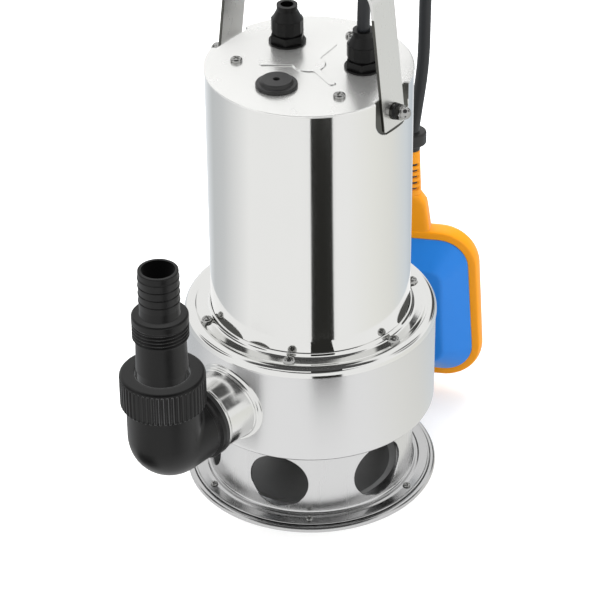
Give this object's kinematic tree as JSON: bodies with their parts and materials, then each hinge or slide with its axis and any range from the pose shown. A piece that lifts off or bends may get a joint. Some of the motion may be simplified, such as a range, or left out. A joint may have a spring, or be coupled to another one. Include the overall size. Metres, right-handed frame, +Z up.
{
  "type": "submersible sump pump",
  "caption": "Submersible pump with strainer base, steel motor casing, strap handle, float switch and upright hose outlet.",
  "frame": {"origin": "middle of the underside of the base, on the floor", "axes": "+Z up along the shaft, -Y towards the outlet"},
  "size_m": [0.1572, 0.2895, 0.3681],
  "materials": {
    "base_steel": "pressed stainless steel, satin",
    "drum_steel": "stainless sheet, fine satin",
    "casing_steel": "stainless sheet, brushed round the casing",
    "lid_steel": "polished stainless sheet",
    "handle_steel": "stainless strap, satin",
    "bright_steel": "bright stainless steel",
    "motor_iron": "stacked electrical steel",
    "cast_aluminium": "die cast",
    "brass": "turned",
    "copper_winding": "varnished copper wire",
    "seal_ceramic": "lapped ceramic",
    "rubber_black": "moulded nitrile rubber",
    "cable_black": "rubber sheathed cable",
    "black_plastic": "moulded black polymer",
    "white_plastic": "moulded polymer",
    "float_blue": "moulded polypropylene",
    "float_yellow": "moulded polypropylene"
  },
  "bodies": {
    "pump": {"base_plate": "base_steel", "base_screws": "bright_steel", "strainer_cup": "base_steel", "strainer_screws": "bright_steel", "volute_drum": "drum_steel", "seal_seat": "seal_ceramic", "seal_plate": "cast_aluminium", "drum_oring": "rubber_black", "bracket_screws": "bright_steel", "lower_bracket": "cast_aluminium", "lip_seal": "rubber_black", "lower_bearing_outer": "bright_steel", "stator_core": "motor_iron", "stator_windings": "copper_winding", "upper_bracket": "cast_aluminium", "upper_bearing_outer": "bright_steel", "capacitor": "white_plastic", "terminal_block": "white_plastic", "motor_casing": "casing_steel", "cover_ring": "bright_steel", "cover_ring_screws": "bright_steel", "top_cover": "lid_steel", "top_cover_screws": "bright_steel", "blind_plug": "rubber_black", "float_cable_gland": "black_plastic", "mains_cable_gland": "black_plastic", "gland_locknuts": "black_plastic", "handle": "handle_steel", "handle_bolts": "bright_steel", "handle_washers": "bright_steel", "handle_seals": "rubber_black", "handle_nuts": "bright_steel", "outlet_stub": "drum_steel", "outlet_gasket": "rubber_black", "elbow": "black_plastic", "nozzle_gasket": "rubber_black", "hose_nozzle": "black_plastic", "float_cable_upper": "cable_black", "float_cable_bend": "cable_black"},
    "rotor": {"shaft": "bright_steel", "impeller": "black_plastic", "impeller_nut": "brass", "seal_head": "rubber_black", "rotor_core": "motor_iron", "rotor_cage": "cast_aluminium", "lower_bearing_inner": "bright_steel", "upper_bearing_inner": "bright_steel"},
    "bearing_balls": {"lower_bearing_balls": "bright_steel", "upper_bearing_balls": "bright_steel"},
    "union_nut": {"union_nut": "black_plastic"},
    "float": {"float_front_shell": "float_blue", "float_back_shell": "float_blue", "float_band": "float_yellow", "float_strain_relief": "float_yellow", "float_collar": "black_plastic", "float_switch": "white_plastic", "float_cable_lower": "cable_black"},
    "float_ball": {"float_ball": "bright_steel"}
  },
  "joints": [
    {"name": "rotor_spin", "type": "hinge", "parent": "pump", "child": "rotor", "pos_m": [0, 0, 0.17], "axis": [0, 0, 1], "continuous": true},
    {"name": "bearing_ball_roll", "type": "hinge", "parent": "pump", "child": "bearing_balls", "pos_m": [0, 0, 0.17], "axis": [0, 0, 1], "continuous": true},
    {"name": "union_nut_turn", "type": "hinge", "parent": "pump", "child": "union_nut", "pos_m": [0, -0.1305, 0.124], "axis": [0, 0, 1], "continuous": true},
    {"name": "float_swing", "type": "hinge", "parent": "pump", "child": "float", "pos_m": [-0.0029, 0.1103, 0.262], "axis": [0.8571, 0.5151, 0], "range_deg": [0, 120], "deforming": ["float_cable_bend"]},
    {"name": "float_ball_roll", "type": "slide", "parent": "float", "child": "float_ball", "axis": [0, 0, 1], "range_m": [0, 0.022]}
  ],
  "couplings": [
    {"joint": "bearing_ball_roll", "follows": "rotor_spin", "ratio": 0.38}
  ]
}
